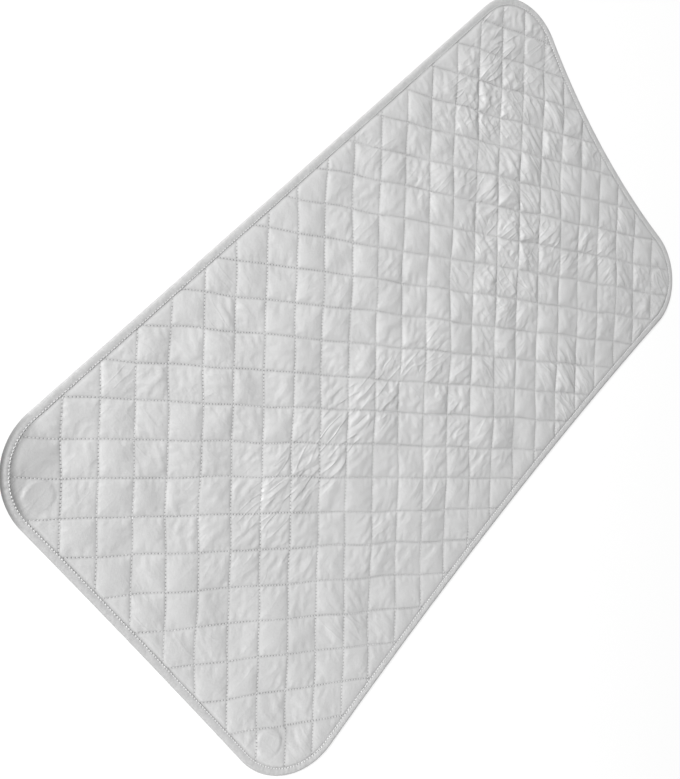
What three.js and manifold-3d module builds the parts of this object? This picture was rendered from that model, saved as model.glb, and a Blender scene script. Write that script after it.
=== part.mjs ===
// Quilted ironing pad. A silvered, lofted top cover, a felt wadding and a backing are quilted together in a
// diagonal grid, four disc magnets sit in quilted cells near the corners, and a folded tape binds the edge.
// Millimetres, +Z up. The pad lies on z = 0, centred on the origin, with its long side along X.

import * as THREE from "three";
import { mergeVertices } from "three/addons/utils/BufferGeometryUtils.js";
import Module from "manifold-3d";

const wasm = await Module();
wasm.setup();

// Outline. Each side's middle is drawn in from the line between its two corners.
const LENGTH = 840;
const WIDTH = 465;
const CORNER_RADIUS = 71;
const LEFT_DRAW_IN = 1;
const RIGHT_DRAW_IN = 15;
const BACK_DRAW_IN = 0.5;
const FRONT_DRAW_IN = 10;

// Layers, from the binding's under leg up to its upper leg
const TAPE = 0.8;
const CLOTH = 0.5;
const PINCHED_WADDING = 1.0;
const FIT = 0.3;
const BINDING_WIDTH = 10.5;
const BACKING_RAMP = 3;

// Quilting: two families of straight seams that cross in a grid, placed by one crossing near the middle
const FALLING_ANGLE = THREE.MathUtils.degToRad(-44.5);
const RISING_ANGLE = THREE.MathUtils.degToRad(46.7);
const STEP_ALONG_FALLING = 33.7;
const STEP_ALONG_RISING = 35.1;
const CROSSING_X = -5;
const CROSSING_Y = 16.4;
const PUFF_HEIGHT = 2.8;

// Threads
const THREAD_DIAMETER = 0.5;
const SHORTEST_THREAD = 90;
const BINDING_SEAM_INSET = 9;

// Magnets, each in the quilted cell nearest to this spot in its corner
const MAGNET_DIAMETER = 25;
const MAGNET_THICKNESS = 4;
const MAGNET_FROM_END = 36;
const MAGNET_FROM_SIDE = 66;
const MAGNET_IMPRINT_FLANK = 1.6;

// Facets
const CORNER_STEPS = 9;
const SIDE_STEPS = 7;
const DISC_SIDES = 20;
const THREAD_SIDES = 6;

// Levels that follow from the layers
const BACKING_RIM_Z = TAPE + FIT;
const WADDING_RIM_Z = BACKING_RIM_Z + CLOTH + FIT;
const COVER_RIM_Z = WADDING_RIM_Z + PINCHED_WADDING + FIT;
const SEAM_Z = COVER_RIM_Z + CLOTH;
const BINDING_TOP_Z = SEAM_Z + FIT + TAPE;
const CROWN_Z = SEAM_Z + PUFF_HEIGHT;
const LAYER_EDGE_INSET = TAPE + FIT;
const CLEAR_OF_BINDING = BINDING_WIDTH + FIT;
const BELOW_ALL = -5;
const OUTSIDE_ALL = -5;

const silverCloth = new THREE.MeshStandardMaterial({ color: 0xcfcfd0, roughness: 0.5, metalness: 0.25 });
const greyTape = new THREE.MeshStandardMaterial({ color: 0xbdbdbe, roughness: 0.75, metalness: 0.0 });
const greyThread = new THREE.MeshStandardMaterial({ color: 0xa9a9aa, roughness: 0.6, metalness: 0.0 });
const whiteWadding = new THREE.MeshStandardMaterial({ color: 0xf1efea, roughness: 0.95, metalness: 0.0 });
const greyBacking = new THREE.MeshStandardMaterial({ color: 0xc4c4c6, roughness: 0.8, metalness: 0.0 });
const darkFerrite = new THREE.MeshStandardMaterial({ color: 0x37373a, roughness: 0.6, metalness: 0.2 });

// Solids and meshes

function solidOf(geometry) {
  const bare = geometry.clone();
  bare.deleteAttribute("normal");
  bare.deleteAttribute("uv");
  const merged = mergeVertices(bare);
  return new wasm.Manifold(
    new wasm.Mesh({
      numProp: 3,
      vertProperties: new Float32Array(merged.attributes.position.array),
      triVerts: new Uint32Array(merged.index.array),
    }),
  );
}

function geometryOf(solid) {
  const { vertProperties, triVerts } = solid.getMesh();
  const geometry = new THREE.BufferGeometry();
  geometry.setAttribute("position", new THREE.BufferAttribute(vertProperties, 3));
  geometry.setIndex(new THREE.BufferAttribute(triVerts, 1));
  geometry.computeVertexNormals();
  return geometry;
}

function geometryFrom(vertices, triangles) {
  const geometry = new THREE.BufferGeometry();
  geometry.setAttribute("position", new THREE.Float32BufferAttribute(vertices.flat(), 3));
  geometry.setIndex(triangles.flat());
  geometry.computeVertexNormals();
  return geometry;
}

function named(name, geometry, material) {
  const mesh = new THREE.Mesh(geometry, material);
  mesh.name = name;
  return mesh;
}

// The outline: a round corner, then the shallow hollow arc of the next side, four times anticlockwise.
// Each point carries its outward normal, so that any inset of the outline follows from the same points.

function sideArc(halfSpan, cornerReach, drawIn) {
  const centreBeyondCorners = (halfSpan * halfSpan - drawIn * drawIn) / (2 * drawIn);
  return {
    centre: cornerReach + centreBeyondCorners,
    radius: drawIn + centreBeyondCorners - CORNER_RADIUS,
    lean: Math.atan2(halfSpan, centreBeyondCorners),
  };
}

const halfAcross = LENGTH / 2 - CORNER_RADIUS;
const halfDeep = WIDTH / 2 - CORNER_RADIUS;
const sides = {
  right: sideArc(halfDeep, halfAcross, RIGHT_DRAW_IN),
  back: sideArc(halfAcross, halfDeep, BACK_DRAW_IN),
  left: sideArc(halfDeep, halfAcross, LEFT_DRAW_IN),
  front: sideArc(halfAcross, halfDeep, FRONT_DRAW_IN),
};

function cornerPoints(signX, signY, startAxis, before, after) {
  const angles = [startAxis - before.lean];
  for (let step = 0; step <= CORNER_STEPS; step++) {
    angles.push(startAxis + ((step / CORNER_STEPS) * Math.PI) / 2);
  }
  angles.push(startAxis + Math.PI / 2 + after.lean);
  return angles.map((angle) => {
    const normal = new THREE.Vector2(Math.cos(angle), Math.sin(angle));
    const centre = new THREE.Vector2(signX * halfAcross, signY * halfDeep);
    return { at: centre.addScaledVector(normal, CORNER_RADIUS), normal };
  });
}

function sidePoints(axisAngle, side) {
  const axis = new THREE.Vector2(Math.cos(axisAngle), Math.sin(axisAngle));
  const along = new THREE.Vector2(-axis.y, axis.x);
  const points = [];
  for (let step = 1; step < SIDE_STEPS; step++) {
    const turn = side.lean * ((2 * step) / SIDE_STEPS - 1);
    const normal = axis.clone().multiplyScalar(Math.cos(turn)).addScaledVector(along, -Math.sin(turn));
    const at = axis.clone().multiplyScalar(side.centre).addScaledVector(normal, -side.radius);
    points.push({ at, normal });
  }
  return points;
}

const outline = [
  ...cornerPoints(1, 1, 0, sides.right, sides.back),
  ...sidePoints(Math.PI / 2, sides.back),
  ...cornerPoints(-1, 1, Math.PI / 2, sides.back, sides.left),
  ...sidePoints(Math.PI, sides.left),
  ...cornerPoints(-1, -1, Math.PI, sides.left, sides.front),
  ...sidePoints(1.5 * Math.PI, sides.front),
  ...cornerPoints(1, -1, 1.5 * Math.PI, sides.front, sides.right),
  ...sidePoints(2 * Math.PI, sides.right),
];

function ring(inset) {
  return outline.map(({ at, normal }) => at.clone().addScaledVector(normal, -inset));
}

function distanceToSegment(point, from, to) {
  const along = to.clone().sub(from);
  const share = THREE.MathUtils.clamp(point.clone().sub(from).dot(along) / along.lengthSq(), 0, 1);
  return point.distanceTo(from.clone().addScaledVector(along, share));
}

function insetOf(point) {
  const edge = ring(0);
  let nearest = Infinity;
  let inside = false;
  edge.forEach((to, index) => {
    const from = edge.at(index - 1);
    nearest = Math.min(nearest, distanceToSegment(point, from, to));
    const crosses = from.y > point.y !== to.y > point.y;
    const crossingX = from.x + ((point.y - from.y) / (to.y - from.y)) * (to.x - from.x);
    if (crosses && point.x < crossingX) inside = !inside;
  });
  return inside ? nearest : -nearest;
}

// A solid lofted through insets of the outline, from the lowest ring to the highest, with both ends closed
function loft(levels) {
  const count = outline.length;
  const vertices = levels.flatMap(({ inset, z }) => ring(inset).map(({ x, y }) => [x, y, z]));
  const triangles = [];
  for (let level = 0; level < levels.length - 1; level++) {
    for (let index = 0; index < count; index++) {
      const a = level * count + index;
      const b = level * count + ((index + 1) % count);
      triangles.push([a, b, b + count], [a, b + count, a + count]);
    }
  }
  const top = (levels.length - 1) * count;
  for (const [a, b, c] of THREE.ShapeUtils.triangulateShape(ring(levels[0].inset), [])) {
    triangles.push([c, b, a]);
  }
  for (const [a, b, c] of THREE.ShapeUtils.triangulateShape(ring(levels.at(-1).inset), [])) {
    triangles.push([top + a, top + b, top + c]);
  }
  return solidOf(geometryFrom(vertices, triangles));
}

// A closed profile of insets and heights carried once round the outline
function sweep(profile) {
  const count = outline.length;
  const vertices = profile.flatMap(({ inset, z }) => ring(inset).map(({ x, y }) => [x, y, z]));
  const triangles = [];
  for (let line = 0; line < profile.length; line++) {
    const next = (line + 1) % profile.length;
    for (let index = 0; index < count; index++) {
      const following = (index + 1) % count;
      const a = line * count + index;
      const b = line * count + following;
      const c = next * count + following;
      const d = next * count + index;
      triangles.push([a, b, c], [a, c, d]);
    }
  }
  return geometryFrom(vertices, triangles);
}

// The quilting grid

const fallingStep = new THREE.Vector2(Math.cos(FALLING_ANGLE), Math.sin(FALLING_ANGLE)).multiplyScalar(
  STEP_ALONG_FALLING,
);
const risingStep = new THREE.Vector2(Math.cos(RISING_ANGLE), Math.sin(RISING_ANGLE)).multiplyScalar(
  STEP_ALONG_RISING,
);
const shortestStep = Math.min(STEP_ALONG_FALLING, STEP_ALONG_RISING);
const gridReach = Math.ceil(Math.hypot(LENGTH, WIDTH) / 2 / shortestStep) + 1;

function gridPoint(falling, rising) {
  return new THREE.Vector2(CROSSING_X, CROSSING_Y)
    .addScaledVector(fallingStep, falling)
    .addScaledVector(risingStep, rising);
}

function isPuffed(falling, rising) {
  const corners = [gridPoint(falling, rising), gridPoint(falling + 1, rising)];
  corners.push(gridPoint(falling + 1, rising + 1), gridPoint(falling, rising + 1));
  return corners.every((corner) => insetOf(corner) > CLEAR_OF_BINDING);
}

// Everything below the cover's upper face: a block whose top is the quilted grid, one low pyramid to a cell
function quiltedBlock() {
  const across = 2 * gridReach + 1;
  const vertices = [];
  const triangles = [];
  const upper = (column, row) => row * across + column;
  const lower = (column, row) => across * across + upper(column, row);
  for (const z of [SEAM_Z, BELOW_ALL]) {
    for (let row = 0; row < across; row++) {
      for (let column = 0; column < across; column++) {
        const { x, y } = gridPoint(column - gridReach, row - gridReach);
        vertices.push([x, y, z]);
      }
    }
  }
  for (let row = 0; row < across - 1; row++) {
    for (let column = 0; column < across - 1; column++) {
      const corners = [upper(column, row), upper(column + 1, row)];
      corners.push(upper(column + 1, row + 1), upper(column, row + 1));
      if (isPuffed(column - gridReach, row - gridReach)) {
        const { x, y } = gridPoint(column - gridReach + 0.5, row - gridReach + 0.5);
        const apex = vertices.push([x, y, CROWN_Z]) - 1;
        corners.forEach((corner, index) => triangles.push([corner, corners[(index + 1) % 4], apex]));
      } else {
        triangles.push([corners[0], corners[1], corners[2]], [corners[0], corners[2], corners[3]]);
      }
      const under = [lower(column, row), lower(column, row + 1), lower(column + 1, row + 1)];
      triangles.push(under, [under[0], under[2], lower(column + 1, row)]);
    }
  }
  const wall = (a, b, c, d) => triangles.push([a, b, c], [a, c, d]);
  const last = across - 1;
  for (let step = 0; step < last; step++) {
    const next = step + 1;
    wall(lower(step, 0), lower(next, 0), upper(next, 0), upper(step, 0));
    wall(lower(next, last), lower(step, last), upper(step, last), upper(next, last));
    wall(lower(0, next), lower(0, step), upper(0, step), upper(0, next));
    wall(lower(last, step), lower(last, next), upper(last, next), upper(last, step));
  }
  return solidOf(geometryFrom(vertices, triangles));
}

// Magnets

const magnetRadius = MAGNET_DIAMETER / 2;
const magnetBottom = CLOTH + FIT;
const magnetTop = magnetBottom + MAGNET_THICKNESS;
const pocketRadius = magnetRadius + FIT;
const imprintRadius = pocketRadius + 2 * CLOTH;
const imprintTop = Math.max(CROWN_Z, magnetTop + FIT + 2 * CLOTH);

const magnetReach =
  CLEAR_OF_BINDING + Math.max(BACKING_RAMP + pocketRadius, imprintRadius + MAGNET_IMPRINT_FLANK);

function magnetCell(signX, signY) {
  const spot = new THREE.Vector2(
    signX * (LENGTH / 2 - MAGNET_FROM_END),
    signY * (WIDTH / 2 - MAGNET_FROM_SIDE),
  );
  const cells = [];
  for (let falling = -gridReach; falling < gridReach; falling++) {
    for (let rising = -gridReach; rising < gridReach; rising++) {
      const centre = gridPoint(falling + 0.5, rising + 0.5);
      if (insetOf(centre) > magnetReach) cells.push(centre);
    }
  }
  return cells.reduce((best, cell) => (cell.distanceTo(spot) < best.distanceTo(spot) ? cell : best));
}

const magnets = [
  { name: "magnet_left_back", at: magnetCell(-1, 1) },
  { name: "magnet_left_front", at: magnetCell(-1, -1) },
  { name: "magnet_right_front", at: magnetCell(1, -1) },
  { name: "magnet_right_back", at: magnetCell(1, 1) },
];

function uprightCylinder(topRadius, bottomRadius, bottom, top, { x, y }) {
  return new THREE.CylinderGeometry(topRadius, bottomRadius, top - bottom, DISC_SIDES)
    .rotateX(Math.PI / 2)
    .translate(x, y, (bottom + top) / 2);
}

// The cover stands flat over each magnet, with a steep flank round it
function magnetImprint({ at }) {
  const outerRadius = imprintRadius + MAGNET_IMPRINT_FLANK;
  return solidOf(uprightCylinder(imprintRadius, outerRadius, SEAM_Z - FIT, imprintTop, at));
}

function magnetPocket({ at }) {
  return solidOf(uprightCylinder(pocketRadius, pocketRadius, BELOW_ALL, magnetTop + FIT, at));
}

function magnetMesh({ name, at }) {
  const disc = new THREE.CylinderGeometry(magnetRadius, magnetRadius, MAGNET_THICKNESS, DISC_SIDES);
  disc.rotateX(Math.PI / 2);
  const mesh = named(name, disc, darkFerrite);
  mesh.position.set(at.x, at.y, (magnetBottom + magnetTop) / 2);
  return mesh;
}

// Layers: all are cut to one edge inside the binding, and the cover and wadding leave room for the magnets

function layerBetween(bottom, top) {
  return loft([
    { inset: LAYER_EDGE_INSET, z: bottom },
    { inset: LAYER_EDGE_INSET, z: top },
  ]);
}

const belowBacking = loft([
  { inset: OUTSIDE_ALL, z: BELOW_ALL },
  { inset: OUTSIDE_ALL, z: BACKING_RIM_Z },
  { inset: CLEAR_OF_BINDING, z: BACKING_RIM_Z },
  { inset: CLEAR_OF_BINDING + BACKING_RAMP, z: 0 },
]);

function raised(solid, height) {
  return solid.translate([0, 0, height]);
}

function withoutMagnetPockets(layer) {
  return magnets.reduce((rest, magnet) => rest.subtract(magnetPocket(magnet)), layer);
}

function topCover() {
  const quilted = magnets.reduce((block, magnet) => block.add(magnetImprint(magnet)), quiltedBlock());
  return withoutMagnetPockets(quilted.intersect(layerBetween(COVER_RIM_Z, imprintTop + FIT)));
}

function wadding() {
  const slab = layerBetween(0, COVER_RIM_Z - FIT);
  return withoutMagnetPockets(slab.subtract(raised(belowBacking, CLOTH + FIT)));
}

function backing() {
  const slab = layerBetween(BELOW_ALL / 2, BACKING_RIM_Z + CLOTH + FIT);
  return slab.intersect(raised(belowBacking, CLOTH)).subtract(belowBacking);
}

// The binding: one tape folded round the edge, with a leg above and a leg below
function edgeBinding() {
  const foldRadius = TAPE * 1.5;
  const innerRadius = foldRadius - TAPE;
  const profile = [
    { inset: BINDING_WIDTH, z: 0 },
    { inset: foldRadius, z: 0 },
    { inset: 0, z: foldRadius },
    { inset: 0, z: BINDING_TOP_Z - foldRadius },
    { inset: foldRadius, z: BINDING_TOP_Z },
    { inset: BINDING_WIDTH, z: BINDING_TOP_Z },
    { inset: BINDING_WIDTH, z: BINDING_TOP_Z - TAPE },
    { inset: TAPE + innerRadius, z: BINDING_TOP_Z - TAPE },
    { inset: TAPE, z: BINDING_TOP_Z - TAPE - innerRadius },
    { inset: TAPE, z: TAPE + innerRadius },
    { inset: TAPE + innerRadius, z: TAPE },
    { inset: BINDING_WIDTH, z: TAPE },
  ];
  return sweep(profile);
}

// Threads

function bindingThread() {
  const radius = THREAD_DIAMETER / 2;
  const profile = [];
  for (let side = 0; side < THREAD_SIDES; side++) {
    const turn = (2 * Math.PI * side) / THREAD_SIDES;
    profile.push({
      inset: BINDING_SEAM_INSET + radius * Math.cos(turn),
      z: BINDING_TOP_Z + FIT + radius - radius * Math.sin(turn),
    });
  }
  return sweep(profile);
}

// The stretch of a straight seam that lies inside the binding, or nothing
function seamSpan(through, direction) {
  const edge = ring(CLEAR_OF_BINDING);
  const normal = new THREE.Vector2(-direction.y, direction.x);
  const hits = [];
  edge.forEach((to, index) => {
    const from = edge.at(index - 1);
    const before = from.clone().sub(through).dot(normal);
    const after = to.clone().sub(through).dot(normal);
    if (before > 0 === after > 0) return;
    const point = from.clone().lerp(to, before / (before - after));
    hits.push(point.sub(through).dot(direction));
  });
  return hits.length < 2 ? null : [Math.min(...hits), Math.max(...hits)];
}

function seamThreads(family, pointOnSeam, step, level) {
  const direction = step.clone().normalize();
  const threads = [];
  for (let index = -gridReach; index <= gridReach; index++) {
    const through = pointOnSeam(index);
    const span = seamSpan(through, direction);
    if (!span || span[1] - span[0] < SHORTEST_THREAD) continue;
    const radius = THREAD_DIAMETER / 2;
    const bar = new THREE.CylinderGeometry(radius, radius, span[1] - span[0], THREAD_SIDES);
    const number = String(threads.length + 1).padStart(2, "0");
    const mesh = named(`quilt_thread_${family}_${number}`, bar, greyThread);
    const middle = through.clone().addScaledVector(direction, (span[0] + span[1]) / 2);
    mesh.position.set(middle.x, middle.y, SEAM_Z + FIT + radius + level * (THREAD_DIAMETER + FIT));
    mesh.rotation.z = direction.angle() - Math.PI / 2;
    threads.push(mesh);
  }
  return threads;
}

// Assembly

const pad = new THREE.Group();
pad.name = "ironing_pad";
pad.add(named("backing", geometryOf(backing()), greyBacking));
pad.add(named("wadding", geometryOf(wadding()), whiteWadding));
pad.add(named("top_cover", geometryOf(topCover()), silverCloth));
pad.add(named("edge_binding", edgeBinding(), greyTape));
pad.add(named("binding_thread", bindingThread(), greyThread));
pad.add(...magnets.map(magnetMesh));
pad.add(...seamThreads("rising", (index) => gridPoint(index, 0), risingStep, 0));
pad.add(...seamThreads("falling", (index) => gridPoint(0, index), fallingStep, 1));

export default pad;
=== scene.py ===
"""Looks of the quilted ironing pad: cover, backing, bound edge and every stitch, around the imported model."""

import math

import bpy
import numpy as np
from mathutils import Matrix, Vector


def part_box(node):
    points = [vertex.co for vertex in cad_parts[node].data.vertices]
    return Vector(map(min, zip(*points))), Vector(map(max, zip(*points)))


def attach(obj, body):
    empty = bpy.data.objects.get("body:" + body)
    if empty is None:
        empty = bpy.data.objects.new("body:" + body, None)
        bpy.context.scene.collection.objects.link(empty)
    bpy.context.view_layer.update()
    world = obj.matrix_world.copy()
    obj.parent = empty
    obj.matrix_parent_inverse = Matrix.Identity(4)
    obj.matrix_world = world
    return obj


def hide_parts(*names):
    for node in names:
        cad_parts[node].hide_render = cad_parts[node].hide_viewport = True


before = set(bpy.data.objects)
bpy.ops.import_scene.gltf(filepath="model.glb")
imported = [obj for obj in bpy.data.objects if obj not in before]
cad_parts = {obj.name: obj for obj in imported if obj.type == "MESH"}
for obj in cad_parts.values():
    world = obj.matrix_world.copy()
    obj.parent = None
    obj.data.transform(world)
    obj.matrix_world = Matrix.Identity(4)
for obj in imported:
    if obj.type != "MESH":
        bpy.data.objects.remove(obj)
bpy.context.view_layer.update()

MM = 0.001

# Outline, in millimetres as in the CAD model
LENGTH, WIDTH, CORNER_RADIUS = 840.0, 465.0, 71.0
LEFT_DRAW_IN, RIGHT_DRAW_IN, BACK_DRAW_IN, FRONT_DRAW_IN = 1.0, 15.0, 0.5, 10.0

# Quilting grid
FALLING_ANGLE, RISING_ANGLE = math.radians(-44.5), math.radians(46.7)
STEP_ALONG_FALLING, STEP_ALONG_RISING = 33.7, 35.1
CROSSING = np.array([-5.0, 16.4])
GRID_REACH = 15
SEAM_SAMPLES = 40
SEAM_Z = 3.7
SHORTEST_SEAM = 90.0
SEAM_STRAY = 0.5
SEAM_BOW = 4.5

# Cover. Ease is spare cloth, as a share of its length, along or across the pad. A fold mark runs along the
# middle of the near half, and a broader one crosses the far end.
COVER_STEPS = 16
COVER_SEED = 7
COVER_EDGE_INSET, COVER_FLOOR_GAP = 3.0, 0.6
BINDING_WIDTH, LIP_OVERLAP = 8.8, 0.3
EDGE_RISE_REACH = 4.0
EDGE_DROP, EDGE_DROP_REACH, EDGE_DROP_RAMP = 0.6, 2.0, 3.5
NEAR_CROWN, FAR_CROWN, CROWN_TURN_X, CROWN_TURN_REACH = 1.7, 2.9, 60.0, 160.0
UNEVEN_CROWN, UNEVEN_LEAN = 0.2, 0.8
SWELL, SWELL_EDGE = 0.5, 40.0
WADDING_SUPPORT = 0.45
WRINKLE_ROOM = 0.42
NEAR_EASE, FAR_EASE, EASE_TURN_X, EASE_TURN_REACH = 0.005, 0.018, 40.0, 150.0
FOLD_MARK_EASE, FAR_FOLD_EASE = 0.04, 0.036
FOLD_MARK_FROM, FOLD_MARK_TO, FOLD_MARK_FADE, FOLD_MARK_REACH = -270.0, 60.0, 50.0, 30.0
FAR_FOLD_X, FAR_FOLD_Y, FAR_FOLD_REACH = 290.0, 100.0, 110.0
SEAM_GATHER, GATHER_REACH = 0.03, 5.0
START_HEIGHT, START_RIPPLE = 0.75, 0.3
CLOTH_ROUNDS, KEPT_SPEED = 120, 0.85
THREAD_PULL, BIAS_PULL, BEND_PULL = 0.9, 0.4, 0.3
LEAST_BEND, LEAST_LONG_BEND = 0.97, 0.96
CLEAR_OF_SEAMS = [0.5, 0.5, 50.0]

# Backing
BACKING_STEPS = 6
BACKING_SEAM_Z, BACKING_CELL_Z, BACKING_RIM_Z = 0.75, 0.05, 1.15
BACKING_RAMP, BACKING_RAMP_GAP = 3.0, 0.5
BACKING_CREASED = 0.2

# Stitches
STITCH_SEED = 11
STITCH_PITCH, STITCH_LENGTH, THREAD_RADIUS = 3.4, 2.5, 0.3
STITCH_SINK, STITCH_LIFT, STITCH_STAND_OFF = 0.25, 0.3, 0.1
STITCH_SHIFT, STITCH_TILT, STITCH_UNEVEN = 0.12, 0.05, 0.06
STITCHES_FROM_BINDING = 1.0
STITCH_SIDES = 5

# Binding
BINDING_SEED = 5
BINDING_SPACING, BINDING_STITCH_SPACING = 1.1, 0.4
BINDING_SEAM_INSET, BINDING_STITCH_PITCH, BINDING_THREAD_RADIUS = 7.6, 3.3, 0.5
BINDING_STITCH_SHARE = 0.7
BINDING_STITCH_Z, BINDING_STITCH_SINK, BINDING_STITCH_LIFT = 3.74, 0.3, 0.3
UNDER_STITCH_Z, UNDER_STITCH_SINK, UNDER_STITCH_LIFT = 0.42, 0.25, 0.1
EDGE_WAVE, EDGE_WAVE_COUNTS = 0.12, range(40, 140, 3)
STITCH_DENT, DRAWN_DENT, PLEAT, PUCKER = 0.15, 0.6, 0.2, 0.1

# Magnets under the cover
MAGNET_IMPRINT_RADIUS, MAGNET_FLANK, MAGNET_DRAW_DOWN, MAGNET_TOP_Z = 13.0, 2.2, 8.0, 5.5
LEAST_LOFT_BY_MAGNET = 0.45

# Studio: lengths in metres, the lens and its sensor in millimetres
FLOOR_Z, FLOOR_RADIUS, FLOOR_SIDES = -0.0004, 1.7, 96
FLOOR_BOUNCE, FLOOR_SHADED, FLOOR_GLOW = 0.6, 0.3, 0.76
ROOM_LIGHT, ROOM_SEEN = 0.14, 0.982
CAMERA_AT = Vector((-0.5225, 0.4127, 0.8611))
CAMERA_RIGHT, CAMERA_FORWARD = Vector((0.6244, -0.5505, 0.5541)), Vector((0.4154, -0.3667, -0.8324))
LENS, SENSOR_WIDTH = 45.88, 36.0


# Outline


def side_arc(half_span, corner_reach, draw_in):
    """A drawn-in side: how far out its arc's centre lies, the arc's radius, and half the angle it turns."""
    beyond = (half_span**2 - draw_in**2) / (2 * draw_in)
    return corner_reach + beyond, draw_in + beyond - CORNER_RADIUS, math.atan2(half_span, beyond)


HALF_ACROSS, HALF_DEEP = LENGTH / 2 - CORNER_RADIUS, WIDTH / 2 - CORNER_RADIUS
RIGHT = side_arc(HALF_DEEP, HALF_ACROSS, RIGHT_DRAW_IN)
BACK = side_arc(HALF_ACROSS, HALF_DEEP, BACK_DRAW_IN)
LEFT = side_arc(HALF_DEEP, HALF_ACROSS, LEFT_DRAW_IN)
FRONT = side_arc(HALF_ACROSS, HALF_DEEP, FRONT_DRAW_IN)
SIDES = [(0.0, RIGHT), (math.pi / 2, BACK), (math.pi, LEFT), (1.5 * math.pi, FRONT)]
CORNERS = [(1, 1, RIGHT, BACK), (-1, 1, BACK, LEFT), (-1, -1, LEFT, FRONT), (1, -1, FRONT, RIGHT)]


def inset_of(x, y):
    """Distance from the edge, in millimetres, positive inside."""
    inset = np.full(np.shape(x), np.inf)
    for angle, (centre, radius, _) in SIDES:
        away = np.hypot(x - centre * math.cos(angle), y - centre * math.sin(angle))
        inset = np.minimum(inset, away - radius)
    for turn, (sign_x, sign_y, before, after) in enumerate(CORNERS):
        dx, dy = x - sign_x * HALF_ACROSS, y - sign_y * HALF_DEEP
        angle = (np.arctan2(dy, dx) - turn * math.pi / 2 + before[2]) % (2 * math.pi)
        in_corner = angle < math.pi / 2 + before[2] + after[2]
        inset = np.where(in_corner, CORNER_RADIUS - np.hypot(dx, dy), inset)
    return inset


def dented_and_shaded_corner(x, y):
    """Weight for the left back corner, up to 1 round it and 0 elsewhere: it deepens the binding's stitch dents
    and sets how much painted shade its cover and tape get.
    """
    angle = np.arctan2(y - HALF_DEEP, x + HALF_ACROSS)
    return np.where(angle > math.pi / 2, np.abs(np.sin(2 * angle)) ** 0.5, 0.0)


def edge_path(spacing):
    """Points round the edge anticlockwise, their outward normals, and how much each lies in a corner."""
    points, normals, corner = [], [], []
    for turn, (sign_x, sign_y, before, after) in enumerate(CORNERS):
        sweep = math.pi / 2 + before[2] + after[2]
        count = max(8, round(CORNER_RADIUS * sweep / spacing))
        angle = turn * math.pi / 2 - before[2] + sweep * np.arange(count) / count
        normal = np.column_stack([np.cos(angle), np.sin(angle)])
        points.append(np.array([sign_x * HALF_ACROSS, sign_y * HALF_DEEP]) + CORNER_RADIUS * normal)
        normals.append(normal)
        corner.append(np.sin(math.pi * np.arange(count) / count))
        axis_angle = (turn + 1) * math.pi / 2
        centre, radius, lean = after
        axis = np.array([math.cos(axis_angle), math.sin(axis_angle)])
        along = np.array([-axis[1], axis[0]])
        count = max(8, round(2 * lean * radius / spacing))
        angle = lean * (2 * np.arange(count) / count - 1)
        normal = np.cos(angle)[:, None] * axis - np.sin(angle)[:, None] * along
        points.append(centre * axis - radius * normal)
        normals.append(normal)
        corner.append(np.zeros(count))
    return np.vstack(points), np.vstack(normals), np.concatenate(corner)


# Quilting grid

FALLING = STEP_ALONG_FALLING * np.array([math.cos(FALLING_ANGLE), math.sin(FALLING_ANGLE)])
RISING = STEP_ALONG_RISING * np.array([math.cos(RISING_ANGLE), math.sin(RISING_ANGLE)])


def strayed(xy):
    """Where the sewing puts points of the straight grid: it bows to the front at the ends, and strays."""
    stray = np.zeros_like(xy)
    stray[..., 1] -= SEAM_BOW * (xy[..., 0] / (LENGTH / 2)) ** 2
    for axis, turn, length, shift in (
        (0, 0.3, 118.0, 0.4),
        (1, 1.9, 83.0, 2.2),
        (0, 2.6, 97.0, 4.1),
        (1, 1.1, 131.0, 5.3),
        (0, 0.8, 64.0, 1.7),
        (1, 2.2, 71.0, 3.0),
    ):
        along = xy[..., 0] * math.cos(turn) + xy[..., 1] * math.sin(turn)
        stray[..., axis] += SEAM_STRAY * np.sin(2 * math.pi * along / length + shift)
    return xy + stray


def place(i, j):
    """Where grid coordinates lie on the pad."""
    i, j = np.asarray(i, float)[..., None], np.asarray(j, float)[..., None]
    return strayed(CROSSING + i * FALLING + j * RISING)


def seams_of(step, fixed_step):
    """First and last seam of one family: those long enough inside the binding to be sewn."""
    along = np.arange(-GRID_REACH * SEAM_SAMPLES, GRID_REACH * SEAM_SAMPLES + 1) / SEAM_SAMPLES
    sewn = []
    for seam in range(-GRID_REACH, GRID_REACH + 1):
        at = CROSSING + seam * fixed_step + along[:, None] * step
        inside = inset_of(at[:, 0], at[:, 1]) > BINDING_WIDTH
        if inside.sum() * np.linalg.norm(step) / SEAM_SAMPLES > SHORTEST_SEAM:
            sewn.append(seam)
    return sewn[0], sewn[-1]


RISING_SEAMS = seams_of(RISING, FALLING)
FALLING_SEAMS = seams_of(FALLING, RISING)


def among_seams(along, seams):
    """A grid coordinate that stops half a cell beyond the outermost seams."""
    first, last = seams
    below, above = np.minimum((first - along) / 2, 0.5), np.minimum((along - last) / 2, 0.5)
    return np.where(along < first, first - below, np.where(along > last, last + above, along))


def grid_of(steps):
    """Grid coordinates, closer together beside the seams, and the same counted among the sewn seams."""
    index = np.arange(-GRID_REACH * steps, GRID_REACH * steps + 1)
    share = (index % steps) / steps
    crowded = 0.7 * share + 0.3 * (0.5 - 0.5 * np.cos(math.pi * share))
    along = np.floor(index / steps) + crowded
    i, j = np.meshgrid(along, along, indexing="ij")
    return i, j, among_seams(i, RISING_SEAMS), among_seams(j, FALLING_SEAMS)


def on_seam(along):
    return np.abs(along - np.round(along)) < 1e-6


def crown_of(sewn_i, sewn_j):
    """A cell's crown, from 0 on its seams to 1 in the middle, part round and part pyramid."""
    share_i, share_j = sewn_i - np.floor(sewn_i), sewn_j - np.floor(sewn_j)
    round_crown = (16 * share_i * (1 - share_i) * share_j * (1 - share_j)) ** 0.42
    nearest = np.minimum(np.minimum(share_i, 1 - share_i), np.minimum(share_j, 1 - share_j))
    return 0.5 * round_crown + 0.5 * (2 * nearest) ** 0.62


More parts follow.
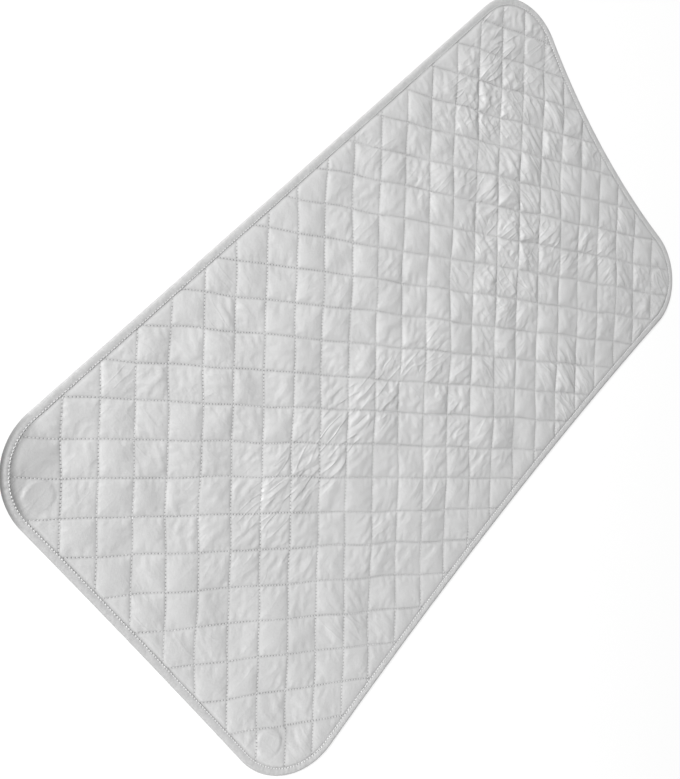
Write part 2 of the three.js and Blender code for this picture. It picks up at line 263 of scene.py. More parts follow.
def swell(x, y):
    """Slow rises and dips of the wadding under the seams, in millimetres, none at the edge."""
    waves = 0
    for turn, length, shift in ((0.4, 160.0, 0.7), (1.5, 118.0, 2.1), (2.3, 90.0, 4.0), (2.9, 68.0, 1.2)):
        waves = waves + np.sin(2 * math.pi * (x * math.cos(turn) + y * math.sin(turn)) / length + shift)
    edge = np.clip((inset_of(x, y) - BINDING_WIDTH) / SWELL_EDGE, 0, 1)
    return SWELL * waves * edge * edge * (3 - 2 * edge)


def smooth_noise(rng, shape, passes):
    """Random heights, blurred as often as this, with a spread of 1."""
    field = rng.normal(0, 1, shape)
    for _ in range(passes):
        beside_i = field + np.roll(field, 1, 0) + np.roll(field, -1, 0)
        field = (beside_i + np.roll(field, 1, 1) + np.roll(field, -1, 1)) / 5
    return field / field.std()


# Cloth: points joined by links that hold their lengths, pinned along the seams. There is a little more cloth
# than room, so it rises off the seams and wrinkles between the wadding below and the tightest crown above.


def link_groups(size, di, dj):
    """Slices of grid points one offset apart, in groups in which no point is used twice."""
    if di == 0:
        return [(a[::-1], b[::-1]) for a, b in link_groups(size, dj, 0)]
    groups = []
    for first in range(2 * di):
        rows_a, rows_b = slice(first, size - di, 2 * di), slice(first + di, size, 2 * di)
        columns_a = slice(max(0, -dj), size - max(0, dj))
        columns_b = slice(max(0, dj), size - max(0, -dj))
        groups.append(((rows_a, columns_a), (rows_b, columns_b)))
    return groups


def cloth_links(flat, free, ease, gather, di, dj):
    """Links between points one offset apart: both ends, lengths, and how much of a pull each end takes."""
    made = []
    for a, b in link_groups(flat.shape[0], di, dj):
        step = flat[b] - flat[a]
        square = (step * step).sum(-1)
        longer = 0.5 * ((ease[a] + ease[b]) * step * step).sum(-1) / square
        share = np.array([di * di, dj * dj], np.float32) / (di * di + dj * dj)
        longer += 0.5 * ((gather[a] + gather[b]) * share).sum(-1)
        length = np.sqrt(square) * (1 + longer)
        both = np.maximum(free[a] + free[b], 1)
        made.append((a, b, length, (free[a] / both)[..., None], (free[b] / both)[..., None]))
    return made


def pull(points, links, firmness, least=None):
    """Moves points towards the links' lengths, or only lets out links under a least share of them."""
    for a, b, length, share_a, share_b in links:
        step = points[b] - points[a]
        now = np.sqrt((step * step).sum(-1))
        wanted = length if least is None else np.maximum(now, least * length)
        change = step * (firmness * (1 - wanted / np.maximum(now, 1e-6)))[..., None]
        points[a] += share_a * change
        points[b] -= share_b * change


def settle(points, free, ease, gather, low, high, rounds):
    """Lets the cloth settle between low and high, in millimetres. Points may move where free is 1.

    Ease and gather say how much longer the cloth is than the flat it covers: along and across the pad, and
    along the two families of seams.
    """
    cloth = points[..., :2].copy(), free, ease, gather
    threads = cloth_links(*cloth, 1, 0) + cloth_links(*cloth, 0, 1)
    bias = cloth_links(*cloth, 1, 1) + cloth_links(*cloth, 1, -1)
    bends = cloth_links(*cloth, 2, 0) + cloth_links(*cloth, 0, 2)
    long_bends = cloth_links(*cloth, 3, 0) + cloth_links(*cloth, 0, 3)
    speed = np.zeros_like(points)
    for _ in range(rounds):
        before = points.copy()
        points += KEPT_SPEED * speed * free[..., None]
        pull(points, threads, THREAD_PULL)
        pull(points, bias, BIAS_PULL)
        pull(points, bends, BEND_PULL, LEAST_BEND)
        pull(points, long_bends, BEND_PULL, LEAST_LONG_BEND)
        points[..., 2] = np.where(free > 0, np.clip(points[..., 2], low, high), points[..., 2])
        speed = points - before
    return points


# Meshes


def mesh_object(name, vertices, faces, material):
    """A smooth mesh that rides on the pad's one body, from points in millimetres."""
    mesh = bpy.data.meshes.new(name)
    mesh.from_pydata((np.asarray(vertices) * MM).tolist(), [], [list(map(int, face)) for face in faces])
    mesh.update()
    mesh.polygons.foreach_set("use_smooth", [True] * len(mesh.polygons))
    made = bpy.data.objects.new(name, mesh)
    bpy.context.scene.collection.objects.link(made)
    mesh.materials.append(material)
    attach(made, "root")
    return made


def masked_grid(keep):
    """Which kept grid points belong to a whole square, and those squares."""
    whole = keep[:-1, :-1] & keep[1:, :-1] & keep[1:, 1:] & keep[:-1, 1:]
    used = np.zeros(keep.shape, bool)
    used[:-1, :-1] |= whole
    used[1:, :-1] |= whole
    used[1:, 1:] |= whole
    used[:-1, 1:] |= whole
    number = np.full(keep.shape, -1)
    number[used] = np.arange(used.sum())
    corners = [number[:-1, :-1], number[1:, :-1], number[1:, 1:], number[:-1, 1:]]
    return used, np.stack([corner[whole] for corner in corners], -1)


def rim_of(faces):
    """The rim's points in order, as the faces run along them."""
    edges = np.vstack([np.column_stack([faces[:, k], faces[:, (k + 1) % 4]]) for k in range(4)])
    known = set(map(tuple, edges.tolist()))
    following = {a: b for a, b in known if (b, a) not in known}
    start = min(following)
    loop, at = [start], following[start]
    while at != start:
        loop.append(at)
        at = following[at]
    return np.array(loop)


def to_edge(xy, inset):
    """Moves points straight out or in to one inset from the edge."""
    for _ in range(3):
        here = inset_of(xy[:, 0], xy[:, 1])
        slope_x = inset_of(xy[:, 0] + 0.5, xy[:, 1]) - inset_of(xy[:, 0] - 0.5, xy[:, 1])
        slope_y = inset_of(xy[:, 0], xy[:, 1] + 0.5) - inset_of(xy[:, 0], xy[:, 1] - 0.5)
        slope = np.column_stack([slope_x, slope_y])
        slope /= np.maximum(np.linalg.norm(slope, axis=1, keepdims=True), 1e-6)
        xy = xy + slope * (inset - here)[:, None]
    return xy


# Materials


def shader(name, metallic=0.0):
    material = bpy.data.materials.new(name)
    material.use_nodes = True
    principled = material.node_tree.nodes["Principled BSDF"]
    principled.inputs["Metallic"].default_value = metallic
    return material, material.node_tree, principled


def node(tree, kind, inputs=None, **settings):
    made = tree.nodes.new(kind)
    for key, value in settings.items():
        setattr(made, key, value)
    for key, value in (inputs or {}).items():
        if isinstance(value, bpy.types.NodeSocket):
            tree.links.new(value, made.inputs[key])
        else:
            made.inputs[key].default_value = value
    return made


def sums(tree, operation, *values, clamp=False):
    made = node(tree, "ShaderNodeMath", dict(enumerate(values)), operation=operation, use_clamp=clamp)
    return made.outputs[0]


def mixed(tree, factor, a, b):
    made = node(tree, "ShaderNodeMix", data_type="RGBA")
    for socket, value in ((made.inputs[0], factor), (made.inputs[6], a), (made.inputs[7], b)):
        if isinstance(value, bpy.types.NodeSocket):
            tree.links.new(value, socket)
        else:
            socket.default_value = value
    return made.outputs[2]


def grey(value):
    return (value, value, value, 1)


def ranged(tree, value, low, high, start=0.0, end=1.0):
    """Goes from low to high as the value goes from start to end."""
    return node(tree, "ShaderNodeMapRange", {0: value, 1: start, 2: end, 3: low, 4: high}).outputs[0]


def darkened(tree, colour, amount, share, value):
    """A colour that goes this share of the way to a grey where the amount is 1."""
    return mixed(tree, sums(tree, "MULTIPLY", amount, share), colour, grey(value))


def dress(tree, principled, colour, roughness, normal):
    tree.links.new(colour, principled.inputs["Base Color"])
    tree.links.new(roughness, principled.inputs["Roughness"])
    tree.links.new(normal, principled.inputs["Normal"])


def wave_bands(tree, where, scale, distortion, direction):
    inputs = {"Vector": where, "Scale": scale, "Distortion": distortion}
    return node(tree, "ShaderNodeTexWave", inputs, bands_direction=direction).outputs["Fac"]


def weave(tree, where, period):
    """Height of a plain weave of this thread spacing, in metres."""
    scale = 0.314 / period
    warp, weft = (wave_bands(tree, where, scale, 0.6, direction) for direction in "XY")
    return sums(tree, "MULTIPLY", warp, weft)


def noise(tree, where, scale, detail=2.0, roughness=0.5):
    inputs = {"Vector": where, "Scale": scale, "Detail": detail, "Roughness": roughness}
    return node(tree, "ShaderNodeTexNoise", inputs).outputs["Fac"]


def bump(tree, height, distance, strength=1.0, under=None):
    inputs = {"Height": height, "Distance": distance, "Strength": strength}
    if under is not None:
        inputs["Normal"] = under
    return node(tree, "ShaderNodeBump", inputs).outputs["Normal"]


def eased(tree, value, start, end):
    """Falls smoothly from 1 at start to 0 at end, or rises to 1 where end comes first."""
    low, high = min(start, end), max(start, end)
    inputs = {0: value, 1: low, 2: high, 3: float(start < end), 4: float(start > end)}
    return node(tree, "ShaderNodeMapRange", inputs, interpolation_type="SMOOTHSTEP").outputs[0]


def vector_attribute(tree, name):
    value = node(tree, "ShaderNodeAttribute", attribute_name=name).outputs["Vector"]
    return node(tree, "ShaderNodeSeparateXYZ", {0: value}).outputs


def creases(tree, where, stretch):
    """Thin crease lines, long in the direction that is scaled least."""
    mapped = node(tree, "ShaderNodeMapping", {"Vector": where, "Scale": stretch}).outputs[0]
    off = sums(tree, "ABSOLUTE", sums(tree, "SUBTRACT", noise(tree, mapped, 1.0, 1.0), 0.5))
    return eased(tree, off, 0.0, 0.07)


def sewn_marks(tree, where):
    """How much a point of the quilted cloth lies in a stitch hole, and how much in a seam's valley."""
    sewn_i, sewn_j, _ = vector_attribute(tree, "quilt")
    i, j, _ = vector_attribute(tree, "grid")
    holes, valleys = [], []
    for across, along, step_across, step_along in (
        (sewn_i, j, STEP_ALONG_FALLING, STEP_ALONG_RISING),
        (sewn_j, i, STEP_ALONG_RISING, STEP_ALONG_FALLING),
    ):
        off = sums(tree, "MULTIPLY", sums(tree, "PINGPONG", across, 0.5), step_across)
        beat = sums(tree, "MULTIPLY", along, step_along / STITCH_PITCH)
        at_hole = eased(tree, sums(tree, "PINGPONG", beat, 0.5), 0.46, 0.3)
        holes.append(sums(tree, "MULTIPLY", at_hole, eased(tree, off, 0.3, 1.0)))
        valleys.append(eased(tree, off, 0.2, 2.6))
    uneven = ranged(tree, noise(tree, where, 40.0), 0.45, 1.0, 0.32, 0.68)
    hole = sums(tree, "MULTIPLY", sums(tree, "MAXIMUM", *holes), uneven)
    return hole, sums(tree, "MULTIPLY", sums(tree, "MAXIMUM", *valleys), uneven)


def quilted_relief(tree, where, thread_spacing):
    """Crease lines, dimples, crinkles and the weave, one upon the other."""
    along_pad, across_pad, _ = vector_attribute(tree, "creased")
    along = sums(tree, "MULTIPLY", creases(tree, where, (20.0, 85.0, 20.0)), along_pad)
    across = sums(tree, "MULTIPLY", creases(tree, where, (75.0, 20.0, 20.0)), across_pad)
    folds = bump(tree, sums(tree, "MAXIMUM", along, across), 0.0004)
    dimples = bump(tree, noise(tree, where, 95.0), 0.0006, 0.5, folds)
    crinkle = bump(tree, noise(tree, where, 340.0, 3.0, 0.6), 0.0004, 0.6, dimples)
    return bump(tree, weave(tree, where, thread_spacing), 0.00008, 0.5, crinkle)


def quilted_cloth(name, light, dark, roughness, metallic, thread_spacing):
    """Blotched cloth, with painted shade in the stitch holes, along the seams' valleys, in the groove by the
    binding and over the left back corner.
    """
    material, tree, principled = shader(name, metallic)
    where = node(tree, "ShaderNodeTexCoord").outputs["Object"]
    _, _, from_binding = vector_attribute(tree, "quilt")
    _, _, corner_shade_weight = vector_attribute(tree, "creased")
    hole, valley = sewn_marks(tree, where)
    blotches = noise(tree, where, 55.0, 3.0)
    specks = noise(tree, where, 460.0, 3.0, 0.6)
    tone = sums(tree, "ADD", sums(tree, "MULTIPLY", blotches, 0.55), sums(tree, "MULTIPLY", specks, 0.45))
    colour = mixed(tree, tone, grey(light * 0.89), grey(light * 1.11))
    # Painted shade in the seams' valleys.
    colour = darkened(tree, colour, valley, 0.3, dark)
    # Painted shade in the groove beside the binding.
    colour = darkened(tree, colour, eased(tree, from_binding, -0.2, 2.6), 0.5, dark)
    # Painted shade over the left back corner, fading out 50 mm in from the binding.
    shade_over_corner = sums(tree, "MULTIPLY", eased(tree, from_binding, 0.0, 50.0), corner_shade_weight)
    colour = darkened(tree, colour, shade_over_corner, 0.4, dark * 0.75)
    # Deeper painted shade in the groove beside the binding round the left back corner.
    corner_groove_shade = sums(tree, "MULTIPLY", eased(tree, from_binding, -0.2, 6.0), corner_shade_weight)
    colour = darkened(tree, colour, corner_groove_shade, 0.85, dark * 0.5)
    # Painted shade in the stitch holes.
    colour = darkened(tree, colour, hole, 0.9, dark * 0.4)
    rough = ranged(tree, specks, roughness - 0.07, roughness + 0.08)
    dress(tree, principled, colour, rough, quilted_relief(tree, where, thread_spacing))
    return material


def tape_cloth(name, value, roughness, thread_spacing, relief):
    """Woven tape, with painted shade at its rim, at its lip and in the stitch holes, most of all round the
    left back corner.
    """
    material, tree, principled = shader(name)
    where = node(tree, "ShaderNodeTexCoord").outputs["Object"]
    off, beat, inset = vector_attribute(tree, "seam")
    corner_shade_weight, _, _ = vector_attribute(tree, "drawn")
    tone = noise(tree, where, 330.0)
    fine = noise(tree, where, 1200.0)
    both = sums(tree, "ADD", sums(tree, "MULTIPLY", tone, 0.6), sums(tree, "MULTIPLY", fine, 0.4))
    colour = mixed(tree, both, grey(value * 0.7), grey(value * 1.3))
    # Painted shade on the rim, where the tape turns over the edge.
    colour = darkened(tree, colour, eased(tree, inset, 0.0, 3.5), 0.12, value * 0.45)
    # Deep painted shade on the rim round the left back corner.
    corner_rim_shade = sums(tree, "MULTIPLY", eased(tree, inset, 0.5, 4.5), corner_shade_weight)
    colour = darkened(tree, colour, corner_rim_shade, 0.9, value * 0.15)
    # Painted shade on the lip, in the groove where the tape meets the cover.
    lip = eased(tree, off, BINDING_WIDTH - BINDING_SEAM_INSET, 0.4)
    colour = darkened(tree, colour, lip, 0.4, value * 0.45)
    # Painted shade in the stitch holes, deepest round the left back corner.
    beside = eased(tree, sums(tree, "ABSOLUTE", off), 0.2, 0.9)
    between = eased(tree, sums(tree, "PINGPONG", beat, 0.5), 0.48, 0.36)
    hole = sums(tree, "MULTIPLY", beside, between)
    colour = darkened(tree, colour, hole, ranged(tree, corner_shade_weight, 0.85, 0.95), value * 0.2)
    rough = ranged(tree, fine, roughness - 0.08, roughness + 0.08)
    soft = bump(tree, noise(tree, where, 180.0, 3.0), 0.0005, 0.5)
    dress(tree, principled, colour, rough, bump(tree, weave(tree, where, thread_spacing), relief, 0.6, soft))
    return material


def thread_shader(name, value):
    material, tree, principled = shader(name)
    where = node(tree, "ShaderNodeTexCoord").outputs["Object"]
    twist = wave_bands(tree, where, 620.0, 1.5, "DIAGONAL")
    colour = mixed(tree, twist, grey(value * 0.82), grey(value * 1.1))
    dress(tree, principled, colour, ranged(tree, twist, 0.48, 0.64), bump(tree, twist, 0.00008, 0.7))
    return material


def ferrite_shader():
    material, tree, principled = shader("dull_ferrite", 0.2)
    where = node(tree, "ShaderNodeTexCoord").outputs["Object"]
    grain = noise(tree, where, 1500.0, 4.0, 0.6)
    colour = mixed(tree, grain, grey(0.025), grey(0.05))
    dress(tree, principled, colour, ranged(tree, grain, 0.45, 0.75), bump(tree, grain, 0.0001, 0.5))
    return material


SILVER = quilted_cloth("silver_cloth", 0.62, 0.36, 0.5, 0.15, 0.0007)
BACKING = quilted_cloth("backing_weave", 0.52, 0.34, 0.75, 0.0, 0.0009)
TAPE = tape_cloth("binding_tape", 0.6, 0.65, 0.0008, 0.00018)
THREAD = thread_shader("quilting_thread", 0.74)
TAPE_THREAD = thread_shader("binding_thread", 0.78)
FERRITE = ferrite_shader()


# Cover


def magnet_centres():
    centres = []
    for name in ("magnet_left_back", "magnet_left_front", "magnet_right_front", "magnet_right_back"):
        low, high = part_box(name)
        centres.append(((low[0] + high[0]) / 2 / MM, (low[1] + high[1]) / 2 / MM))
    return centres


def over_magnets(xy, z):
    """Stretches the cover over the discs: flat on top, steep round the side, drawn down beside them."""
    for x, y in magnet_centres():
        away = np.hypot(xy[..., 0] - x, xy[..., 1] - y)
        share = np.clip((away - MAGNET_IMPRINT_RADIUS) / MAGNET_FLANK, 0, 1)
        stretched = SEAM_Z + (MAGNET_TOP_Z - SEAM_Z) * (1 - share * share * (3 - 2 * share))
        beyond = np.clip((away - MAGNET_IMPRINT_RADIUS - MAGNET_FLANK) / MAGNET_DRAW_DOWN, 0, 1)
        loft = LEAST_LOFT_BY_MAGNET + (1 - LEAST_LOFT_BY_MAGNET) * beyond
        beside = SEAM_Z + (z - SEAM_Z) * loft
        z = np.where(beyond < 1, np.maximum(beside, stretched), z)
    return z


def hill(value, middle, reach):
    return np.exp(-(((value - middle) / reach) ** 2))


def far_share(x, middle, reach):
    """Goes from 0 at the left end to 1 at the right end, the far one in the photograph."""
    return 0.5 + 0.5 * np.tanh((x - middle) / reach)


def spare_cloth(x, y, rng):
    """How much spare cloth there is along and across the pad, how sharply it is creased both ways, and how
    much painted shade the left back corner gets.
    """
    far = far_share(x, EASE_TURN_X, EASE_TURN_REACH)
    patch_along, patch_across = smooth_noise(rng, x.shape, 300), smooth_noise(rng, x.shape, 300)
    within = np.tanh((x - FOLD_MARK_FROM) / FOLD_MARK_FADE) - np.tanh((x - FOLD_MARK_TO) / FOLD_MARK_FADE)
    fold_mark = hill(y, 0, FOLD_MARK_REACH) * within / 2
    far_fold = hill(x, FAR_FOLD_X, FAR_FOLD_REACH) * hill(y, FAR_FOLD_Y, FAR_FOLD_REACH)
    every_cell = NEAR_EASE + (FAR_EASE - NEAR_EASE) * far
    along = every_cell * np.exp(0.6 * patch_along) + FAR_FOLD_EASE * far_fold
    across = every_cell * np.exp(0.6 * patch_across) + FOLD_MARK_EASE * fold_mark
    lines = 0.15 + 0.35 * far
    creased_along = np.clip(lines * (0.6 + patch_across) + fold_mark, 0, 1)
    creased_across = np.clip(lines * (0.3 + patch_along) + 0.8 * far_fold, 0, 1)
    # The third mark is the left back corner's weight for the cover's painted shade.
    return np.dstack([along, across]), np.dstack([creased_along, creased_across, dented_and_shaded_corner(x, y)])


def uneven_cells(sewn_i, sewn_j, rng):
    """How much higher or lower each cell stands, and which way it leans."""
    column, row = np.floor(sewn_i).astype(int), np.floor(sewn_j).astype(int)
    size = 2 * GRID_REACH + 1
    height, lean_i, lean_j = rng.normal(0, 1, (3, size, size))[:, column + GRID_REACH, row + GRID_REACH]
    lean = lean_i * (sewn_i - column - 0.5) + lean_j * (sewn_j - row - 0.5)
    return np.clip(1 + UNEVEN_CROWN * height + UNEVEN_LEAN * lean, 0.4, 1.6)


def gather_along_seams(sewn_i, sewn_j):
    """Spare cloth that the sewing gathers along each seam, which puckers beside it."""
    off_i = np.abs(sewn_i - np.round(sewn_i)) * STEP_ALONG_FALLING
    off_j = np.abs(sewn_j - np.round(sewn_j)) * STEP_ALONG_RISING
    return SEAM_GATHER * np.dstack([np.exp(-off_j / GATHER_REACH), np.exp(-off_i / GATHER_REACH)])


def cover_heights(x, y, inset, crown):
    """Heights of the seams, of the wadding below the cloth, and of the tightest crown above it."""
    rise = NEAR_CROWN + (FAR_CROWN - NEAR_CROWN) * far_share(x, CROWN_TURN_X, CROWN_TURN_REACH)
    drop = EDGE_DROP * np.clip((BINDING_WIDTH + EDGE_DROP_REACH - inset) / EDGE_DROP_RAMP, 0, 1)
    seam_z = SEAM_Z + swell(x, y) - drop
    return seam_z, seam_z + WADDING_SUPPORT * rise * crown, seam_z + rise * crown + WRINKLE_ROOM * crown**0.6


def cover_points():
    """The settled cover's grid points, their insets from the edge, and the marks that its material reads."""
    i, j, sewn_i, sewn_j = grid_of(COVER_STEPS)
    xy = place(i, j)
    x, y = xy[..., 0], xy[..., 1]
    inset = inset_of(x, y)
    rng = np.random.default_rng(COVER_SEED)
    ease, creased = spare_cloth(x, y, rng)
    crown = crown_of(sewn_i, sewn_j) * uneven_cells(sewn_i, sewn_j, rng)
    crown *= np.clip((inset - BINDING_WIDTH + LIP_OVERLAP) / EDGE_RISE_REACH, 0, 1) ** 0.55
    sewn = on_seam(sewn_i) | on_seam(sewn_j) | (inset < BINDING_WIDTH - LIP_OVERLAP)
    seam_z, low, high = cover_heights(x, y, inset, crown)
    marks = {
        "quilt": np.dstack([sewn_i, sewn_j, inset - BINDING_WIDTH]),
        "grid": np.dstack([i, j, np.zeros_like(i)]),
        "creased": creased,
    }
    ripple = smooth_noise(rng, x.shape, 5) * crown**0.5
    start = (1 - START_HEIGHT) * low + START_HEIGHT * high + START_RIPPLE * ripple
    z = np.where(sewn, seam_z, start)
    free = np.where(sewn, 0.0, 1.0)
    gather = gather_along_seams(sewn_i, sewn_j)
    given = [each.astype(np.float32) for each in (np.dstack([x, y, z]), free, ease, gather, low, high)]
    return settle(*given, CLOTH_ROUNDS).astype(float), inset, marks


def vector_marks(piece, name, values):
    """Keeps three values with every vertex. Vertices after the given ones count as clear of all seams."""
    attribute = piece.data.attributes.new(name, "FLOAT_VECTOR", "POINT")
    every = np.tile(CLEAR_OF_SEAMS, (len(piece.data.vertices), 1))
    every[: len(values)] = values
    attribute.data.foreach_set("vector", every.ravel())


def sharpen_seams(piece, i, j):
    """Creases the shading along the seams."""
    mesh = piece.data
    ends = np.empty(len(mesh.edges) * 2, int)
    mesh.edges.foreach_get("vertices", ends)
    ends = ends.reshape(-1, 2)
    on_i, on_j = np.zeros(len(mesh.vertices), bool), np.zeros(len(mesh.vertices), bool)
    on_i[: len(i)] = on_seam(i)
    on_j[: len(j)] = on_seam(j)
    sharp = on_i[ends].all(1) | on_j[ends].all(1)
    attribute = mesh.attributes.new("sharp_edge", "BOOLEAN", "EDGE")
    attribute.data.foreach_set("value", sharp)


def make_cover():
    """The quilted cover, with a wall down from its rim and a flat floor."""
    points, inset, marks = cover_points()
    points[..., 2] = over_magnets(points[..., :2], points[..., 2])
    used, faces = masked_grid(inset > COVER_EDGE_INSET)
    vertices = points[used]
    rim = rim_of(faces)
    vertices[rim, :2] = to_edge(vertices[rim, :2], COVER_EDGE_INSET)
    floor = vertices[rim].copy()
    floor[:, 2] = BACKING_RIM_Z + COVER_FLOOR_GAP
    below = len(vertices) + np.arange(len(rim))
    wall = np.column_stack([rim, below, np.roll(below, -1), np.roll(rim, -1)])
    faces = [tuple(face) for face in faces] + [tuple(face) for face in wall] + [tuple(below[::-1])]
    piece = mesh_object("pad_cover", np.vstack([vertices, floor]), faces, SILVER)
    for name, values in marks.items():
        vector_marks(piece, name, values[used])
    sharpen_seams(piece, *marks["quilt"][used][:, :2].T)
    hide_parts("top_cover", "wadding")


def make_backing():
    """The one thin sheet underneath, drawn up a little along the seams and at its rim."""
    i, j, sewn_i, sewn_j = grid_of(BACKING_STEPS)
    xy = place(i, j)
    inset = inset_of(xy[..., 0], xy[..., 1])
    z = BACKING_SEAM_Z + (BACKING_CELL_Z - BACKING_SEAM_Z) * crown_of(sewn_i, sewn_j) ** 0.6
    ramp = np.clip((inset - BINDING_WIDTH - BACKING_RAMP_GAP) / BACKING_RAMP, 0, 1)
    z = BACKING_RIM_Z + (z - BACKING_RIM_Z) * ramp * ramp * (3 - 2 * ramp)
    used, faces = masked_grid(inset > COVER_EDGE_INSET)
    vertices = np.column_stack([xy[used], z[used]])
    rim = rim_of(faces)
    vertices[rim, :2] = to_edge(vertices[rim, :2], COVER_EDGE_INSET)
    piece = mesh_object("pad_backing", vertices, faces[:, ::-1], BACKING)
    vector_marks(piece, "quilt", np.column_stack([sewn_i[used], sewn_j[used], inset[used] - BINDING_WIDTH]))
    vector_marks(piece, "grid", np.column_stack([i[used], j[used], np.zeros(used.sum())]))
    vector_marks(piece, "creased", np.tile([BACKING_CREASED, BACKING_CREASED, 0.0], (used.sum(), 1)))
    sharpen_seams(piece, sewn_i[used], sewn_j[used])
    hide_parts("backing")


# Stitches


def stitch_mesh(name, middles, directions, lengths, thread_radius, sink, lift, up, material):
    """One bowed bit of thread for each stitch, its ends sunk in the cloth."""
    rings = [(-0.5, -sink, 0.55), (-0.25, 0.6 * lift, 1.0), (0.25, 0.6 * lift, 1.0), (0.5, -sink, 0.55)]
    sides = STITCH_SIDES
    count = len(middles)
    side_ways = np.column_stack([-directions[:, 1], directions[:, 0], np.zeros(count)])
    straight = np.column_stack([directions, np.zeros(count)])
    vertices = []
    for along, height, thick in rings:
        centre = middles + straight * (along * lengths)[:, None]
        centre[:, 2] += up * height
        radius = thread_radius * thick
        for side in range(sides):
            turn = 2 * math.pi * side / sides
            outward = side_ways * radius * math.cos(turn)
            outward[:, 2] += radius * math.sin(turn)
            vertices.append(centre + outward)
    vertices = np.stack(vertices, 1).reshape(-1, 3)
    faces = []
    for ring in range(len(rings) - 1):
        for side in range(sides):
            a, b = ring * sides + side, ring * sides + (side + 1) % sides
            faces.append((a, a + sides, b + sides, b))
    each = len(rings) * sides
    quads = (np.arange(count)[:, None, None] * each + np.array(faces)).reshape(-1, 4)
    starts = np.arange(count)[:, None] * each + np.arange(sides)
    ends = np.arange(count)[:, None] * each + each - 1 - np.arange(sides)
    piece = mesh_object(name, vertices, quads.tolist() + starts.tolist() + ends.tolist(), material)
    return piece


def seam_stitches(step, fixed_step, seams, z, rng):
    """Middles, directions and lengths of the stitches of one family of seams, inside the binding."""
    length = np.linalg.norm(step)
    reach = int(GRID_REACH * length / STITCH_PITCH)
    beats = np.arange(-reach, reach + 1) * STITCH_PITCH / length
    middles = []
    for seam in range(seams[0], seams[1] + 1):
        at = strayed(CROSSING + seam * fixed_step + beats[:, None] * step)
        at = at[inset_of(at[:, 0], at[:, 1]) > BINDING_WIDTH + STITCHES_FROM_BINDING]
        middles.append(np.column_stack([at, np.full(len(at), z)]))
    middles = np.vstack(middles)
    middles[:, :2] += rng.normal(0, STITCH_SHIFT, (len(middles), 2))
    straight = step / length
    tilt = rng.normal(0, STITCH_TILT, len(middles))[:, None]
    turned = straight + np.array([-straight[1], straight[0]]) * tilt
    turned /= np.linalg.norm(turned, axis=1, keepdims=True)
    return middles, turned, STITCH_LENGTH * (1 + rng.normal(0, STITCH_UNEVEN, len(middles)))


def make_quilt_stitches():
    rng = np.random.default_rng(STITCH_SEED)
    bowed = THREAD_RADIUS, STITCH_SINK, STITCH_LIFT
    families = [("rising", RISING, FALLING, RISING_SEAMS), ("falling", FALLING, RISING, FALLING_SEAMS)]
    for family, step, fixed_step, seams in families:
        middles, directions, lengths = seam_stitches(step, fixed_step, seams, SEAM_Z + STITCH_STAND_OFF, rng)
        middles[:, 2] += swell(middles[:, 0], middles[:, 1])
        top = stitch_mesh(f"{family}_stitches_top", middles, directions, lengths, *bowed, 1, THREAD)
        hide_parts(*[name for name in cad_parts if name.startswith(f"quilt_thread_{family}")])
        stitches = seam_stitches(step, fixed_step, seams, BACKING_SEAM_Z - STITCH_STAND_OFF, rng)
        stitch_mesh(f"{family}_stitches_under", *stitches, *bowed, -1, THREAD)


# Binding

# Rounds of the folded tape, from its upper lip over the edge to the lower lip and back inside: inset,
# height, how much it follows the waves, how much the stitches dent it, how much it pleats
BINDING_PROFILE = [
    (8.7, 3.4, 1.0, 0.0, 0.1),
    (8.8, 3.5, 1.0, 0.0, 0.2),
    (8.5, 3.62, 0.8, 0.2, 0.3),
    (8.1, 3.64, 0.4, 0.6, 0.3),
    (7.6, 3.6, 0.1, 1.0, 0.2),
    (7.1, 3.75, 0.1, 0.6, 0.4),
    (6.0, 3.95, 0.2, 0.15, 0.9),
    (4.4, 4.06, 0.3, 0.0, 0.9),
    (2.6, 4.12, 0.3, 0.0, 0.5),
    (1.2, 3.8, 0.2, 0.0, 0.2),
    (0.3, 3.15, 0.2, 0.0, 0.1),
    (0.0, 2.2, 0.2, 0.0, 0.0),
    (0.3, 1.2, 0.2, 0.0, 0.0),
    (1.4, 0.3, 0.1, 0.0, 0.0),
    (3.5, 0.05, 0.0, 0.0, 0.0),
    (6.6, 0.05, 0.0, 0.0, 0.0),
    (7.6, 0.3, 0.0, 0.3, 0.0),
    (8.5, 0.05, 0.5, 0.0, 0.0),
    (8.8, 0.2, 0.6, 0.0, 0.0),
    (8.8, 0.75, 0.6, 0.0, 0.0),
    (2.6, 0.8, 0.0, 0.0, 0.0),
    (1.3, 1.4, 0.0, 0.0, 0.0),
    (1.1, 2.0, 0.0, 0.0, 0.0),
    (1.3, 2.7, 0.0, 0.0, 0.0),
    (2.6, 3.3, 0.0, 0.0, 0.0),
    (6.0, 3.35, 0.0, 0.0, 0.0),
]


def binding_path(spacing):
    """Edge points, outward normals, how much each lies in a corner, stitches up to each, and in all."""
    points, normals, corner = edge_path(spacing)
    seam = points - normals * BINDING_SEAM_INSET
    steps = np.linalg.norm(np.roll(seam, -1, 0) - seam, axis=1)
    stitches = round(steps.sum() / BINDING_STITCH_PITCH)
    counted = np.concatenate([[0], np.cumsum(steps)[:-1]]) * stitches / steps.sum()
    return points, normals, corner, counted, stitches


def binding_waves(counted, stitches):
    """Uneven waves round the edge, with a spread of 1."""
    rng = np.random.default_rng(BINDING_SEED)
    turn = 2 * math.pi * counted / stitches
    waves = sum(rng.normal(0, 1) * np.sin(k * turn + rng.uniform(0, 6.28)) for k in EDGE_WAVE_COUNTS)
    return waves / waves.std()


def ring_faces(rings, count):
    """Squares between rings of this many points, with the last ring joined to the first."""
    faces = []
    for ring in range(rings):
        a = ring * count + np.arange(count)
        b = ring * count + (np.arange(count) + 1) % count
        following = (ring + 1) % rings * count
        faces.append(np.column_stack([a, a % count + following, b % count + following, b]))
    return np.vstack(faces)


